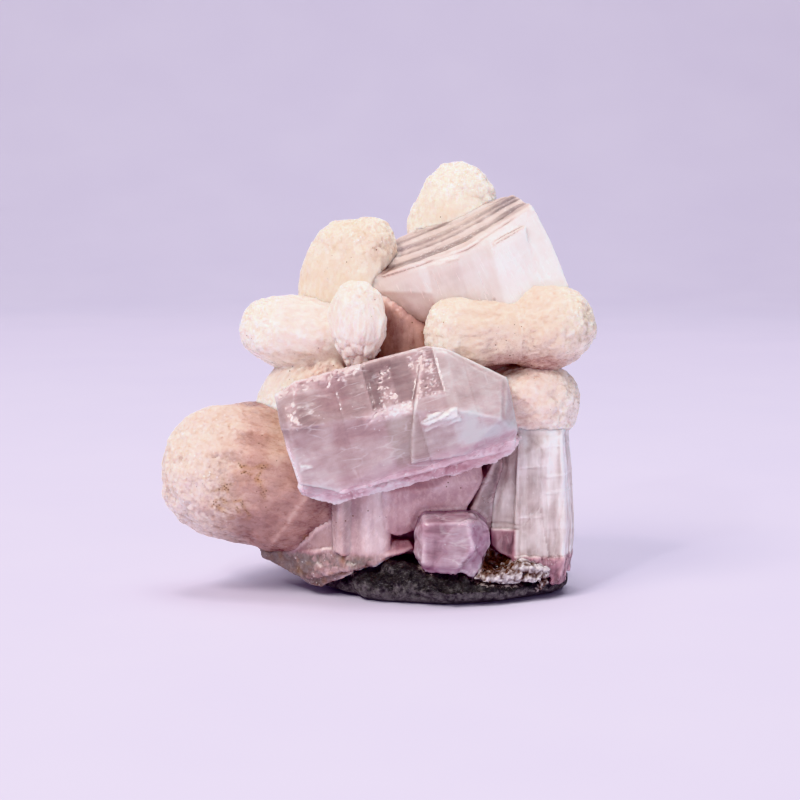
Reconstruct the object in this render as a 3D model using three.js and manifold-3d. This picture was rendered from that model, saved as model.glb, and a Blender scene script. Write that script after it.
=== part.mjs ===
// An apophyllite and stilbite specimen on basalt, about 80 mm wide and 78 mm tall.
// Rosy and pearly apophyllite blocks and cream stilbite sheaves stand on a dark lump of
// basalt, whose open hollow at the front right is lined with a white, knobbly crust.
// Millimetres. +X right, +Y to the back, +Z up. The origin is at the middle of the
// footprint, on the surface that the basalt rests on.
import * as THREE from 'three';
import { ConvexGeometry } from 'three/addons/geometries/ConvexGeometry.js';
import { mergeVertices } from 'three/addons/utils/BufferGeometryUtils.js';
import Module from 'manifold-3d';

const wasm = await Module();
wasm.setup();

// Driving dimensions.
const CONTACT_GAP = 0.3; // between two crystals that grew against each other
const CORNER_PUSH = 1.5; // how much further a corner is moved than a flat, for the same gap
const WELD = 1e-4; // corners closer than this are one
const SHEAF_SIDES = 14; // facets round a stilbite sheaf
const STEM_RINGS = 3; // rings along its widening stem
const CROWN_RINGS = 4; // rings over its rounded end
const CROWN_SQUARENESS = 0.85; // 1 is a round end, 0 a flat one
const BLADE_RELIEF = { broad: 0.036, close: 0.025, lumps: 0.048 }; // shares of its radius
const LUMPS_PER_MM = 0.4; // sets how broad the sheaf's lumps are
const LUMP_DETAIL = 3; // how finely an uneven lump is faceted
const KNOB_DETAIL = 1;
const LUMP_RELIEF = 0.05; // how uneven it is, as a share of its size
const LUMP_WAVES = { broad: 4, close: 9 }; // how many bumps it has round it, about

// Apophyllite crystals, by the corners of their flat faces. A crystal made of several
// blocks has steps where they meet.
const FRONT_CRYSTAL = [
  [
    [-18.1, -20, 38.3], [-14.3, -20.5, 40.9], [9.2, -20.5, 47.3], [12.8, -20.5, 46.7],
    [23.7, -19.5, 41.3], [25.6, -20.8, 32.1], [24.6, -20, 28.8], [15.5, -22.6, 26.9],
    [-6, -23, 21.1], [-13.6, -21.5, 22.3], [-17.2, -21.6, 33.4], [-15.4, -23.2, 33.2],
    [12.8, -24.8, 36.6], [23.2, -23, 34.6],
    [-17.6, -6, 36.5], [-14, -4, 37.6], [11, -4, 43.8], [22.4, -5, 38], [23.4, -6, 27],
    [-6, -8, 21], [-13, -8, 23],
  ],
  // The ragged lip under its lower edge.
  [
    [-14, -19.8, 21.6], [-13.2, -18.4, 19.8], [-7, -18.4, 18.2], [0, -19.4, 21], [-2, -15, 24],
    [-13, -14, 24],
  ],
  [
    [-7, -19.2, 18.6], [1.7, -19.4, 21.6], [10, -19, 23.6], [19.5, -18.6, 25], [24.4, -17.6, 27.2],
    [26.4, -17.4, 30.2], [22, -12, 31], [-6, -13, 23], [10, -12, 28],
  ],
  // A thinner plate that stands proud of the right third.
  [
    [8.4, -21, 46.2], [12.6, -21.2, 46.2], [22.6, -20.4, 40.8], [24.6, -21.6, 32.4],
    [15.6, -23.4, 27.9], [6.4, -23.9, 26.4], [6.8, -25.4, 36.2], [14.6, -25.6, 36.4],
    [22.4, -24, 34.6], [9, -12, 44], [22, -12, 38], [15, -12, 29],
  ],
];

const UPPER_CRYSTAL = [
  // The long striated top leans to the front and reaches out to a thin end on the left.
  [
    [-1.8, -6, 57.4], [8, -9.7, 60.8], [16.6, -10.6, 63.8], [28.7, -4.4, 71.2],
    [4.2, 5.4, 64.7], [14.5, 6, 69.2], [25.6, 5, 72.7], [-1.6, 1.6, 59.6],
    [9.9, -9.8, 50], [20.6, -11, 50], [35.2, -8, 57], [34, -6.6, 50], [32.2, -5.6, 64.6],
    [34, 5, 55], [32.6, 5, 50], [3, 5, 50], [3, -5, 50],
  ],
  // Two proud slabs side by side on the front.
  [
    [10.2, -10.2, 60.4], [15.6, -11, 62.2], [15.6, -11, 52.4], [10.2, -10.4, 52.4],
    [11, -4, 60], [15, -4, 61], [15, -4, 52], [11, -4, 52],
  ],
  [
    [21.6, -9.6, 65], [27.4, -7, 67.8], [29.4, -10, 53.6], [21.6, -11.4, 52.4],
    [22, -3, 62], [27, -3, 65], [28, -3, 53], [22, -3, 52],
  ],
];

const FOOT_CRYSTAL = [
  [
    [8.8, -20.6, 14.8], [16.8, -20.4, 15.2], [17.6, -21, 10.2], [15.4, -21.4, 7.8], [8.6, -21, 7.8],
    [8.6, -18.4, 16], [17.6, -17.8, 16.2], [20.7, -16.8, 13.2], [20.8, -16.8, 10.4],
    [18.8, -18.4, 6.8], [13.6, -20.2, 4.6], [9, -19.6, 5.6], [6.8, -18, 9], [7.2, -18, 13],
    [9, -8, 15.6], [19, -8, 15.2], [20, -8, 9], [17, -8, 5.6], [9, -8, 6],
  ],
  // A small lobe at its lower right.
  [
    [14, -20.6, 6.4], [17.2, -20.2, 7.4], [19, -18.6, 6.6], [18, -19.4, 4.4], [15.6, -20.2, 3.6],
    [14.4, -20.2, 4.4], [15, -14, 7], [18.4, -14, 7], [17, -14, 4.4],
  ],
];

const COLUMN = [
  [
    [26.4, -11.6, 33.4], [35, -8.6, 33.4], [36, -8.8, 22.7], [36.6, -9.2, 12.6], [36.2, -9.4, 6.8],
    [25.9, -15, 26], [25.6, -15.4, 12], [25.2, -15.2, 7], [34, -12.8, 30], [34.8, -14, 12.5],
    [34.4, -14.2, 7], [27, -1.5, 32], [35, -1.5, 32], [36, -1.5, 12], [36, -1.5, 7], [26, -1.5, 7],
  ],
  // Its rosy foot.
  [
    [25.4, -15.6, 7.6], [36.3, -9.4, 7.4], [35.6, -10, 2.3], [25.2, -15.2, 4.4], [34.4, -14.8, 7.2],
    [33.6, -14.6, 2.4], [27, -15.4, 3], [26, -2, 7.4], [36, -2, 7.4], [35.4, -2, 2.3], [26, -2, 2.6],
  ],
  // The narrower plate on its left.
  [
    [23.5, -11.6, 26.8], [26.6, -12.4, 31.6], [21.7, -12.9, 18.3], [21.5, -13.3, 13.1],
    [26.4, -14.4, 12.8], [27, -14.2, 27], [24, -4, 27], [22, -4, 13], [28, -4, 30], [28, -4, 13],
  ],
  // The small rosy piece at its left foot.
  [
    [21.2, -13.6, 12.9], [25.6, -14.6, 12.9], [25.6, -15, 7.4], [23, -14.6, 8.2], [21.4, -13.8, 9.6],
    [22, -5, 12.8], [26, -5, 12.8], [26, -5, 7.4], [22, -5, 8.4],
  ],
];

const WEDGE_CRYSTAL = [
  [
    [22.4, -13.4, 27], [23.2, -12.6, 23.6], [21.4, -12.2, 11.6], [18.4, -13.4, 11.4],
    [17, -14.4, 14.5], [21.4, -14.2, 25], [20, -4, 27], [23, -4, 25], [21, -4, 12], [16, -5, 13],
  ],
];

const BACK_CRYSTAL = [
  [
    [0.4, 24.4, 22.6], [2.2, 25.6, 31.4], [12.2, 25.8, 34], [14.8, 24.4, 27.6], [12.6, 24.6, 20.2],
    [3, 24.6, 18.6], [-1, 14, 23], [2, 14, 33.6], [13, 14, 35.6], [16.4, 14, 27], [13.6, 14, 18.6],
    [2, 14, 17.2], [7.4, 27.6, 27.4],
  ],
];

// Rosy stilbite under the front crystal: broad smooth faces on the left, where the big fan
// has its root, then two upright prisms, and a mass that rises to the right over a recess.
const BASE_BLADES = [
  [
    [-21.3, -8, 6.2], [-22, -7, 12], [-17, -9.4, 21], [-8, -13, 22.6], [-8.4, -14.6, 8],
    [-13.6, -10.6, 2.9], [-10.4, -13, 1.7], [-4.4, -15.2, 4.6], [-14, 4, 20], [-14, 3, 6], [-4, 4, 22],
    [-6, 0, 2.6], [-16.4, -10.8, 13],
  ],
  [
    [-7.8, -14.6, 18.6], [-7.6, -15.6, 8.8], [-6.2, -17, 8.4], [-4, -15.8, 8.6],
    [-4, -15.2, 18.6], [-6.4, -16.6, 18.4], [-7, -6, 18], [-7, -6, 8], [-4, -6, 18], [-4, -6, 8],
  ],
  [
    [-4.6, -15, 22], [-4.4, -16.6, 7.6], [-1.6, -17.8, 7], [2.2, -16.8, 7.8], [2.8, -15.4, 22],
    [-1.4, -17, 20], [-4, -2, 22], [-4, -2, 7], [3, -2, 22], [3, -2, 7],
  ],
  [
    [-8.6, -13.4, 24], [1.6, -16.4, 19.6], [1.8, -16.6, 13], [3.8, -16.2, 12], [5.8, -15.6, 13.8],
    [8, -15.2, 15.2], [15.6, -14, 15.4], [19.4, -13.2, 21.6], [19, -12.2, 26], [11, -16, 20.6],
    [-8, -3, 25], [3, -3, 13], [18, -3, 25], [16, -3, 15],
  ],
  // The skirt that they stand on.
  [
    [-12.4, -12.8, 3.2], [-4, -17.4, 5.8], [2.4, -17.6, 8.2], [6.6, -16.2, 9.4], [5.8, -14.6, 10.6],
    [-4, -16, 9.6], [-10, -14.4, 8.8], [-16, -10.8, 7.6], [-12, -6, 4], [4, -6, 7], [7, -8, 9.6], [-6, -4, 10],
  ],
  // The back of the recess.
  [
    [1.6, -11.6, 6], [10.4, -11.6, 6], [10.4, -11, 16], [1.6, -12, 16], [2, -4, 6], [10, -4, 6],
    [10, -4, 16], [2, -4, 16],
  ],
];

// Stilbite sheaves. root is where the blades meet and tip is the far end. waist and spread
// are half widths at the root and at the broadest place, flat is thickness over width, and
// wide is the direction in which the sheaf is broad. crown is the rounded end's share.
const LEFT_FAN = [
  { root: [1, -4.5, 18.6], tip: [-39.9, -6.8, 23.4], waist: 9.6, spread: 13.1, flat: 0.84, wide: [0, 0, 1], crown: 0.36, seed: 1 },
  { root: [-2, -3, 15], tip: [-26, -9, 14], waist: 6, spread: 7.4, flat: 1, wide: [0, 0, 1], crown: 0.4, seed: 7 },
];
const LEFT_LOBE = [
  { root: [-4.5, -4, 46.4], tip: [-25.2, -5, 49], waist: 5.4, spread: 6.4, flat: 1, wide: [0, 0, 1], crown: 0.42, seed: 2 },
  { root: [-9, -3, 45], tip: [-20.6, -3.4, 31], waist: 4.4, spread: 4.8, flat: 1.15, wide: [1, 0, 0], crown: 0.36, seed: 3 },
  { root: [-7, -5, 42], tip: [-15.6, -7, 33.4], waist: 4.4, spread: 4.8, flat: 1, wide: [1, 0, 0], crown: 0.4, seed: 4 },
];
const UPPER_LEFT_LOBE = [
  { root: [-8.2, 1, 45], tip: [-4.4, 0.6, 68.2], waist: 6.6, spread: 7.9, flat: 0.85, wide: [1, 0, -0.16], crown: 0.46, seed: 5 },
  { root: [-4.6, 0, 48], tip: [-0.2, -1.4, 68.9], waist: 5, spread: 5.6, flat: 1.15, wide: [1, 0, 0], crown: 0.42, seed: 6 },
];
const FRONT_BUD = [
  { root: [-3.2, -12.6, 42.4], tip: [-3.5, -12.6, 58.2], waist: 1.7, spread: 5.1, flat: 0.8, wide: [1, 0, 0], crown: 0.44, seed: 8 },
];
const CREST = [
  { root: [12.6, 8.4, 50], tip: [16.2, 8.4, 78.6], waist: 6, spread: 8.3, flat: 0.8, wide: [1, 0, 0.1], crown: 0.5, seed: 9 },
  { root: [14, 8, 54], tip: [8.6, 8.4, 71.5], waist: 4, spread: 4.8, flat: 1, wide: [1, 0, 0], crown: 0.5, seed: 10 },
];
const RIGHT_BOW = [
  { root: [24.6, -8.8, 48.8], tip: [39.9, -8.4, 50], waist: 5.2, spread: 7.7, flat: 0.95, wide: [0, 0, 1], crown: 0.52, seed: 11 },
  { root: [27, -10.2, 48.4], tip: [8.9, -12.4, 48.4], waist: 5, spread: 6.3, flat: 0.9, wide: [0, 0, 1], crown: 0.3, seed: 12 },
];
const RIGHT_BALL = [
  { root: [21.4, -7, 35.4], tip: [37.4, -8.2, 35.3], waist: 5.4, spread: 7.3, flat: 1, wide: [0, 0, 1], crown: 0.52, seed: 13 },
];
const BACK_LEFT_SHEAF = [
  { root: [-2, 9, 22], tip: [-19.5, 19.5, 31.5], waist: 5.5, spread: 8.8, flat: 0.8, wide: [0, 0, 1], crown: 0.4, seed: 14 },
  { root: [-2, 9, 18], tip: [-17, 17, 12], waist: 4.6, spread: 6.4, flat: 0.9, wide: [0, 0, 1], crown: 0.42, seed: 15 },
];
const BACK_TOP_SHEAF = [
  { root: [4, 8, 40], tip: [1.8, 21.6, 54.6], waist: 5.6, spread: 8, flat: 0.8, wide: [1, 0, 0], crown: 0.42, seed: 16 },
  { root: [8, 8, 38], tip: [20.4, 21.4, 46.6], waist: 5.4, spread: 7.6, flat: 0.85, wide: [0.6, -0.6, 0.4], crown: 0.42, seed: 17 },
];

// The broad sheaf in the middle, whose shaded face shows between the others.
const HEART = [
  { root: [9, 6, 8], tip: [7, 1, 61], waist: 13, spread: 13.5, flat: 0.72, wide: [1, 0, 0], crown: 0.26, seed: 18 },
  { root: [15, 3, 16], tip: [25, -1, 50], waist: 9.5, spread: 9.5, flat: 0.8, wide: [1, 0, 0], crown: 0.3, seed: 19 },
];

// The shaded blade that shows between the bud and the upper crystal.
const HEART_BLADE = [
  [
    [-1, -6.6, 57], [8, -9, 60], [11.4, -9.6, 52], [9.8, -9.6, 44], [1.6, -8.4, 42], [-0.6, -7.2, 50],
    [0, 2, 56], [9, 2, 59], [10, 2, 42], [1, 2, 42],
  ],
];

// Basalt: a low lump that reaches the front, and a hump behind the crystals.
const BASE_LUMP = { at: [13.2, 1, 2.6], half: [24.8, 23.8, 6], turn: 1, seed: 1 };
const FRONT_LUMP = { at: [4.2, -12.6, 3.2], half: [9.6, 7.4, 4.7], turn: 0, seed: 5 };
const HUMP = { at: [9, 12.6, 14], half: [20, 12.4, 30], turn: 0, seed: 2 };
// Flat breaks: the way that each faces, and its distance from the origin.
const REST_PLANE = [[0, 0, -1], 0.2];
const BROKEN_SIDE = [[1, 0, 0], 35.4];
const HUMP_BREAKS = [
  [[0.3, 0.94, 0.14], 25.6],
  [[-0.55, 0.8, 0.24], 22.4],
  [[0.9, 0.38, 0.2], 28.4],
  [[0.2, 0.6, 0.78], 42.2],
  [[-0.92, 0.1, 0.38], 13.2],
];
const HOLLOW = { at: [22.8, -17.6, 7.4], half: [8.4, 8.4, 4.8], turn: 4, seed: 4 };

// White crust in the hollow and over the basalt's top, with knobs along its open edge.
const CRUST_BED = { at: [20.4, -11.4, 4.6], half: [13.6, 8.8, 4.4], turn: 1, seed: 6 };
const KNOBS = {
  count: 11,
  from: [17, -18.8, 4.4],
  to: [32.6, -15.2, 3],
  radius: 1.15,
  uneven: 0.35, // share by which their radii differ
  stray: [0, 1.1, 0.8], // how far each lies off the line
};
const CRUST_CAVITY = { at: [22.4, -18, 8.2], half: [3.3, 6, 2.8], turn: 0, seed: 9 };

// Plain looks of each mineral.
const look = (colour, roughness) =>
  new THREE.MeshStandardMaterial({ color: colour, roughness, metalness: 0 });
const ROSE = look('#d3b3bf', 0.2);
const PEARL = look('#e4dcde', 0.3);
const CREAM = look('#ecdfcf', 0.6);
const PEACH = look('#dfc3b4', 0.6);
const WHITE_CRUST = look('#d9d3d3', 0.7);
const BASALT = look('#3d3d3f', 0.95);

// Solid geometry helpers.
const vector = ([x, y, z]) => new THREE.Vector3(x, y, z);
const radians = THREE.MathUtils.degToRad;

function toSolid(geometry) {
  const bare = new THREE.BufferGeometry();
  bare.setAttribute('position', geometry.getAttribute('position'));
  bare.setIndex(geometry.getIndex());
  const merged = mergeVertices(bare, WELD);
  const mesh = new wasm.Mesh({
    numProp: 3,
    vertProperties: merged.getAttribute('position').array,
    triVerts: new Uint32Array(merged.getIndex().array),
  });
  return new wasm.Manifold(mesh);
}

function toGeometry(solid) {
  const mesh = solid.getMesh();
  const geometry = new THREE.BufferGeometry();
  geometry.setAttribute('position', new THREE.BufferAttribute(mesh.vertProperties, 3));
  geometry.setIndex(new THREE.BufferAttribute(mesh.triVerts, 1));
  geometry.computeVertexNormals();
  return geometry;
}

const join = (solids) => solids.reduce((whole, next) => whole.add(next));

// The piece and the room that it leaves round itself.
function grown(solid) {
  const geometry = toGeometry(solid);
  const position = geometry.getAttribute('position');
  const normal = geometry.getAttribute('normal');
  const push = CONTACT_GAP * CORNER_PUSH;
  for (let i = 0; i < position.count; i++) {
    position.setXYZ(
      i,
      position.getX(i) + normal.getX(i) * push,
      position.getY(i) + normal.getY(i) * push,
      position.getZ(i) + normal.getZ(i) * push,
    );
  }
  return toSolid(geometry).add(solid);
}

const largestBody = (solid) =>
  solid.decompose().reduce((most, body) => (body.volume() > most.volume() ? body : most));

// A smooth, repeatable unevenness between -1 and 1.
function unevenness(x, y, z, seed) {
  return (
    (Math.sin(x + 1.7 * seed) * Math.cos(y * 1.3 - seed) +
      Math.sin(y * 0.8 + z * 1.1 + 2.3 * seed) +
      Math.cos(z * 1.6 - x * 0.7 + seed * 0.9)) /
    3
  );
}

// The flat-faced crystal that has these corners.
const block = (corners) => toSolid(new ConvexGeometry(corners.map(vector)));

// A closed sheaf of blades: a lathe profile that widens from the root to a rounded end,
// flattened one way, with ribs that deepen towards the end.
function sheaf({ root, tip, waist, spread, flat, wide, crown, seed }) {
  const length = vector(tip).distanceTo(vector(root));
  const shoulder = length * (1 - crown);
  const profile = [new THREE.Vector2(0, 0)];
  for (let i = 0; i <= STEM_RINGS; i++) {
    const t = i / STEM_RINGS;
    const radius = waist + (spread - waist) * Math.sin((t * Math.PI) / 2);
    profile.push(new THREE.Vector2(radius, t * shoulder));
  }
  for (let i = 1; i < CROWN_RINGS; i++) {
    const turn = (i / CROWN_RINGS) * (Math.PI / 2);
    const radius = spread * Math.cos(turn) ** CROWN_SQUARENESS;
    profile.push(new THREE.Vector2(radius, shoulder + length * crown * Math.sin(turn)));
  }
  profile.push(new THREE.Vector2(0, length));

  const geometry = new THREE.LatheGeometry(profile, SHEAF_SIDES);
  const position = geometry.getAttribute('position');
  for (let i = 0; i < position.count; i++) {
    const [x, y, z] = [position.getX(i), position.getY(i), position.getZ(i)];
    const angle = Math.atan2(z, x);
    const along = y / length;
    const relief =
      BLADE_RELIEF.broad * Math.cos(3 * angle + seed) +
      BLADE_RELIEF.close * Math.cos(5 * angle - 2 * seed) +
      BLADE_RELIEF.lumps * unevenness(x * LUMPS_PER_MM, y * LUMPS_PER_MM, z * LUMPS_PER_MM, seed);
    const swell = 1 + along * relief;
    position.setXYZ(i, x * swell, y, z * swell * flat);
  }

  const axis = vector(tip).sub(vector(root)).normalize();
  const across = vector(wide).projectOnPlane(axis).normalize();
  const through = across.clone().cross(axis);
  const placed = new THREE.Matrix4().makeBasis(across, axis, through);
  placed.setPosition(vector(root));
  return toSolid(geometry.applyMatrix4(placed));
}

// A rounded, uneven lump of rock or crust.
function lump({ at, half, turn, seed }) {
  const geometry = new THREE.IcosahedronGeometry(1, LUMP_DETAIL);
  const position = geometry.getAttribute('position');
  for (let i = 0; i < position.count; i++) {
    const [x, y, z] = [position.getX(i), position.getY(i), position.getZ(i)];
    const [broad, close] = [LUMP_WAVES.broad, LUMP_WAVES.close].map((waves) =>
      unevenness(x * waves, y * waves, z * waves, seed),
    );
    const swell = 1 + LUMP_RELIEF * (broad + close);
    position.setXYZ(i, x * swell * half[0], y * swell * half[1], z * swell * half[2]);
  }
  geometry.rotateY(radians(turn)).translate(...at);
  return toSolid(geometry);
}

// What is left of a solid behind a flat break.
function broken(solid, [facing, distance]) {
  const inward = vector(facing).normalize().negate();
  return solid.trimByPlane(inward.toArray(), -distance);
}

// Pieces that are more than one shape, before they are cut clear of each other.
function basalt() {
  const hump = HUMP_BREAKS.reduce(broken, lump(HUMP));
  const rock = join([lump(BASE_LUMP), lump(FRONT_LUMP), hump]).subtract(lump(HOLLOW));
  return [REST_PLANE, BROKEN_SIDE].reduce(broken, rock);
}

function crust() {
  const knobs = [];
  for (let i = 0; i < KNOBS.count; i++) {
    const t = i / (KNOBS.count - 1);
    const at = vector(KNOBS.from).lerp(vector(KNOBS.to), t);
    at.y += KNOBS.stray[1] * Math.sin(i * 2.4);
    at.z += KNOBS.stray[2] * Math.cos(i * 1.9);
    const size = KNOBS.radius * (1 + KNOBS.uneven * Math.sin(i * 4.1));
    const knob = new THREE.IcosahedronGeometry(size, KNOB_DETAIL).translate(...at.toArray());
    knobs.push(toSolid(knob));
  }
  return join([lump(CRUST_BED), ...knobs]).subtract(lump(CRUST_CAVITY));
}

const blocks = (list) => join(list.map(block));
const sheaves = (list) => join(list.map(sheaf));

// In order: each piece is cut clear of those before it.
const GROWTH = [
  ['basalt_matrix', basalt(), BASALT],
  ['apophyllite_front', blocks(FRONT_CRYSTAL), ROSE],
  ['apophyllite_upper', blocks(UPPER_CRYSTAL), PEARL],
  ['apophyllite_foot', blocks(FOOT_CRYSTAL), ROSE],
  ['apophyllite_column', blocks(COLUMN), PEARL],
  ['stilbite_bud', sheaves(FRONT_BUD), CREAM],
  ['stilbite_bow', sheaves(RIGHT_BOW), CREAM],
  ['stilbite_ball', sheaves(RIGHT_BALL), CREAM],
  ['stilbite_crest', sheaves(CREST), CREAM],
  ['stilbite_fan', sheaves(LEFT_FAN), PEACH],
  ['stilbite_left', sheaves(LEFT_LOBE), CREAM],
  ['stilbite_upper_left', sheaves(UPPER_LEFT_LOBE), CREAM],
  ['apophyllite_wedge', blocks(WEDGE_CRYSTAL), ROSE],
  ['apophyllite_back', blocks(BACK_CRYSTAL), ROSE],
  ['stilbite_base', blocks(BASE_BLADES), PEACH],
  ['stilbite_heart', sheaves(HEART).add(blocks(HEART_BLADE)), PEACH],
  ['stilbite_back_left', sheaves(BACK_LEFT_SHEAF), CREAM],
  ['stilbite_back_top', sheaves(BACK_TOP_SHEAF), CREAM],
  ['druse_crust', crust(), WHITE_CRUST],
];

const specimen = new THREE.Group();
const taken = [];
for (const [name, whole, material] of GROWTH) {
  const cut = taken.reduce((left, clearance) => left.subtract(clearance), whole);
  taken.push(grown(whole));
  const mesh = new THREE.Mesh(toGeometry(largestBody(cut)), material);
  mesh.name = name;
  specimen.add(mesh);
}

// Stands the specimen over the middle of its footprint.
const extent = new THREE.Box3().setFromObject(specimen);
const middle = extent.getCenter(new THREE.Vector3());
specimen.position.set(-middle.x, -middle.y, -extent.min.z);

export default specimen;
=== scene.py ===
"""An apophyllite and stilbite specimen on basalt, dressed for a studio picture.

Each piece starts from its solid in the frame, is remeshed finely and then given the relief
of its mineral: radiating blades and sugary ends on stilbite, flat glassy faces with
striations and ragged lips on apophyllite, knobs on the white crust, grit on the basalt.
Every point also keeps how light it is (tone) and how pink (blush), which the materials read;
tone also holds painted highlight on ridges and painted shade where the pieces meet.
Lengths are in millimetres until they are written to a mesh.
"""
import itertools
import math

import bpy
import numpy as np
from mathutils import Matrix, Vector
from mathutils.bvhtree import BVHTree


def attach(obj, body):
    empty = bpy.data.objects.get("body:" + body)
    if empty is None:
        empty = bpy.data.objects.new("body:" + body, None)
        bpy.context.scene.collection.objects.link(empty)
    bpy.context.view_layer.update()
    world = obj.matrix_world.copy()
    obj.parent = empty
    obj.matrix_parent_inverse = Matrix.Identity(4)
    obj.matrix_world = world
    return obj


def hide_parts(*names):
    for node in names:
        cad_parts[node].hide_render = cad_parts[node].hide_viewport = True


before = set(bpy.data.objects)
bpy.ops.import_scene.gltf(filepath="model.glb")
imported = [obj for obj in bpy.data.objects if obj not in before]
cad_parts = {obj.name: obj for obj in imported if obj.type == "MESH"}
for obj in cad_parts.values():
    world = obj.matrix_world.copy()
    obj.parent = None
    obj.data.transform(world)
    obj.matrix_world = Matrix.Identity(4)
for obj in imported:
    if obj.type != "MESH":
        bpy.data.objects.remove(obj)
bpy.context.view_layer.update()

MM = 0.001

# How finely each mineral is meshed: the distance between points.
FINE = 0.27
MEDIUM = 0.33
COARSE = 0.45


# Repeatable patterns in space

def lattice(cell, seed):
    """A repeatable number from 0 to 1 for each whole-number cell."""
    mixed = cell[:, 0] * 73856093 ^ cell[:, 1] * 19349663 ^ cell[:, 2] * 83492791
    mixed = (mixed ^ (seed * 668265263)) & 0x7FFFFFFF
    mixed = ((mixed ^ (mixed >> 13)) * 1274126177) & 0x7FFFFFFF
    mixed = ((mixed ^ (mixed >> 15)) * 1103515245) & 0x7FFFFFFF
    return ((mixed ^ (mixed >> 14)) & 0xFFFFF) / 0xFFFFF


def clouds(points, size, seed=0):
    """Soft unevenness from -1 to 1, in patches about size across."""
    scaled = points / size
    corner = np.floor(scaled).astype(np.int64)
    part = scaled - corner
    part = part * part * (3 - 2 * part)
    total = np.zeros(len(points))
    for step in itertools.product((0, 1), repeat=3):
        weight = np.prod(np.where(step, part, 1 - part), axis=1)
        total += weight * lattice(corner + step, seed)
    return total * 2 - 1


def grains(points, size, seed=0):
    """Splits space into grains about size across.

    Returns the distance to the grain's heart, the distance to its border, its own number
    from 0 to 1, and the way from its heart, all in grain sizes.
    """
    scaled = points / size
    home = np.floor(scaled).astype(np.int64)
    nearest = np.full(len(points), 9.0)
    second = nearest.copy()
    own = np.zeros(len(points))
    away = np.zeros_like(scaled)
    for step in itertools.product((-1, 0, 1), repeat=3):
        cell = home + step
        heart = cell + np.stack([lattice(cell, seed + k) for k in (1, 2, 3)], axis=1)
        offset = scaled - heart
        distance = np.linalg.norm(offset, axis=1)
        closer = distance < nearest
        second = np.where(closer, nearest, np.minimum(second, distance))
        nearest = np.where(closer, distance, nearest)
        own = np.where(closer, lattice(cell, seed + 4), own)
        away = np.where(closer[:, None], offset, away)
    return nearest, second - nearest, own, away


def facets(points, size, seed=0):
    """Small flat crystal ends, each tilted its own way, from about -1 to 1."""
    _, border, own, away = grains(points, size, seed)
    turn = own * math.tau * 7
    tilt = np.stack([np.cos(turn), np.sin(turn), np.cos(turn * 1.7)], axis=1)
    return (away * tilt).sum(axis=1) * 1.3 + (own - 0.5) * 0.9 - 0.5 * (border < 0.12)


def ease(value, low, high):
    """0 below low, 1 above high, and smooth between."""
    t = np.clip((value - low) / (high - low), 0, 1)
    return t * t * (3 - 2 * t)


def within(value, low, high, soft):
    """1 between low and high, fading out over the soft distance at each end."""
    return ease(value, low - soft, low + soft) * (1 - ease(value, high - soft, high + soft))


def groove(place, at, width):
    """1 on a line, falling to 0 at its width to each side."""
    return np.exp(-(((place - at) / width) ** 2))


def off_line(points, line):
    """How far each point (x, z) is from a line of straight stretches."""
    gaps = []
    for start, end in zip(line, line[1:]):
        reach = np.subtract(end, start)
        from_start = points - start
        share = np.clip(from_start @ reach / (reach @ reach), 0, 1)
        gaps.append(np.linalg.norm(from_start - share[:, None] * reach, axis=1))
    return np.min(gaps, axis=0)


# Meshes

def points_of(piece):
    flat = np.empty(len(piece.data.vertices) * 3, np.float32)
    piece.data.vertices.foreach_get("co", flat)
    return flat.reshape(-1, 3).astype(float) / MM


def normals_of(piece):
    flat = np.empty(len(piece.data.vertices) * 3, np.float32)
    piece.data.vertices.foreach_get("normal", flat)
    return flat.reshape(-1, 3).astype(float)


def set_points(piece, points):
    points = points.copy()
    points[:, 2] = np.maximum(points[:, 2], 0)
    piece.data.vertices.foreach_set("co", (points * MM).astype(np.float32).ravel())
    piece.data.update()


def raise_relief(piece, height):
    """Moves every point out along its normal by its height."""
    set_points(piece, points_of(piece) + normals_of(piece) * height[:, None])


def relaxed(piece, rounds, give=0.6):
    """Where the points come to lie when each gives way to its neighbours, round by round."""
    points = points_of(piece)
    flat = np.empty(len(piece.data.edges) * 2, np.int32)
    piece.data.edges.foreach_get("vertices", flat)
    one, other = flat.reshape(-1, 2).T
    many = len(points)
    count = np.bincount(flat, minlength=many)[:, None]
    for _ in range(rounds):
        total = np.stack(
            [
                np.bincount(one, points[other, k], many) + np.bincount(other, points[one, k], many)
                for k in range(3)
            ],
            axis=1,
        )
        points += give * (total / count - points)
    return points


def soften(piece, rounds):
    """Rounds off the solid's facets."""
    set_points(piece, relaxed(piece, rounds))


def standing_out(piece, rounds=8, scale=0.12):
    """From -1 in a groove to 1 on a ridge."""
    gap = points_of(piece) - relaxed(piece, rounds)
    return np.clip((gap * normals_of(piece)).sum(axis=1) / scale, -1, 1)


def solids(nodes):
    """The corners and faces of these nodes' solids, in one list each."""
    corners = []
    faces = []
    for node in nodes:
        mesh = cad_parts[node].data
        first = len(corners)
        corners.extend(vertex.co[:] for vertex in mesh.vertices)
        faces.extend([first + index for index in face.vertices] for face in mesh.polygons)
    return corners, faces


def all_but(*nodes):
    return [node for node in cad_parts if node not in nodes]


def nearness(piece, nodes, reach=1.6):
    """1 where the piece meets these nodes' solids, falling to 0 at the reach from them."""
    tree = BVHTree.FromPolygons(*solids(nodes))
    found = [tree.find_nearest(vertex.co, reach * MM)[3] for vertex in piece.data.vertices]
    gaps = np.array([reach if gap is None else gap / MM for gap in found])
    return 1 - ease(gaps, 0.2, reach)


def remeshed(piece, spacing):
    """Swaps a piece's mesh for an even one with points this far apart."""
    modifier = piece.modifiers.new("even", "REMESH")
    modifier.mode = "VOXEL"
    modifier.voxel_size = spacing * MM
    modifier.use_smooth_shade = True
    graph = bpy.context.evaluated_depsgraph_get()
    fresh = bpy.data.meshes.new_from_object(piece.evaluated_get(graph))
    piece.modifiers.clear()
    piece.data = fresh
    fresh.name = piece.name


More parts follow.
